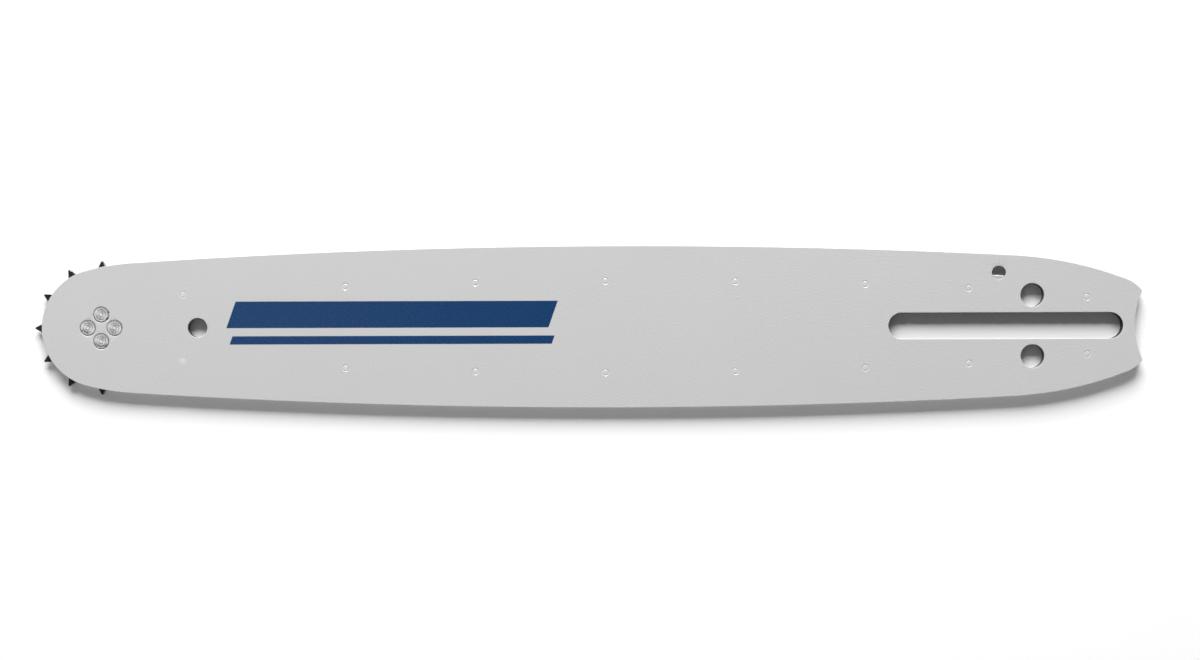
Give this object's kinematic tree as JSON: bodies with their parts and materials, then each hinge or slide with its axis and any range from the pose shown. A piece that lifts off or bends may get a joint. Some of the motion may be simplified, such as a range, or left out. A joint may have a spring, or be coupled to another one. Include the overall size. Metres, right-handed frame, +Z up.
{
  "type": "chainsaw guide bar",
  "caption": "Laminated chainsaw guide bar with a stud slot, chain adjuster holes, an open chain groove and a toothed sprocket that turns in its riveted nose.",
  "frame": {"origin": "middle of the stud slot on the underside of the lower side plate", "axes": "+X along the bar from nose to tail, +Y across it towards the rail with the visible oil hole, +Z up through the plates"},
  "size_m": [0.3989, 0.0582, 0.0038],
  "materials": {
    "grey_paint": "light grey enamel with a fine orange peel, bare ground steel along the rails",
    "core_steel": "bare rolled steel, slightly oily",
    "bearing_steel": "ground and hardened",
    "rivet_steel": "bright, turned in fine rings",
    "black_oxide_steel": "blue-black oxide on hardened steel"
  },
  "bodies": {
    "bar": {"side_plate_upper": "grey_paint", "side_plate_lower": "grey_paint", "core_plate": "core_steel", "bearing_hub": "bearing_steel", "nose_rivets": "rivet_steel"},
    "sprocket": {"nose_sprocket": "black_oxide_steel"},
    "rollers": {"roller_01": "bearing_steel", "roller_02": "bearing_steel", "roller_03": "bearing_steel", "roller_04": "bearing_steel", "roller_05": "bearing_steel", "roller_06": "bearing_steel", "roller_07": "bearing_steel", "roller_08": "bearing_steel", "roller_09": "bearing_steel", "roller_10": "bearing_steel", "roller_11": "bearing_steel", "roller_12": "bearing_steel", "roller_13": "bearing_steel", "roller_14": "bearing_steel", "roller_15": "bearing_steel"}
  },
  "joints": [
    {"name": "sprocket_spin", "type": "hinge", "parent": "bar", "child": "sprocket", "pos_m": [-0.32575, 0, 0.0019], "axis": [0, 0, 1], "continuous": true},
    {"name": "roller_orbit", "type": "hinge", "parent": "bar", "child": "rollers", "pos_m": [-0.32575, 0, 0.0019], "axis": [0, 0, 1], "continuous": true}
  ],
  "couplings": [
    {"joint": "roller_orbit", "follows": "sprocket_spin", "ratio": 0.5863}
  ]
}
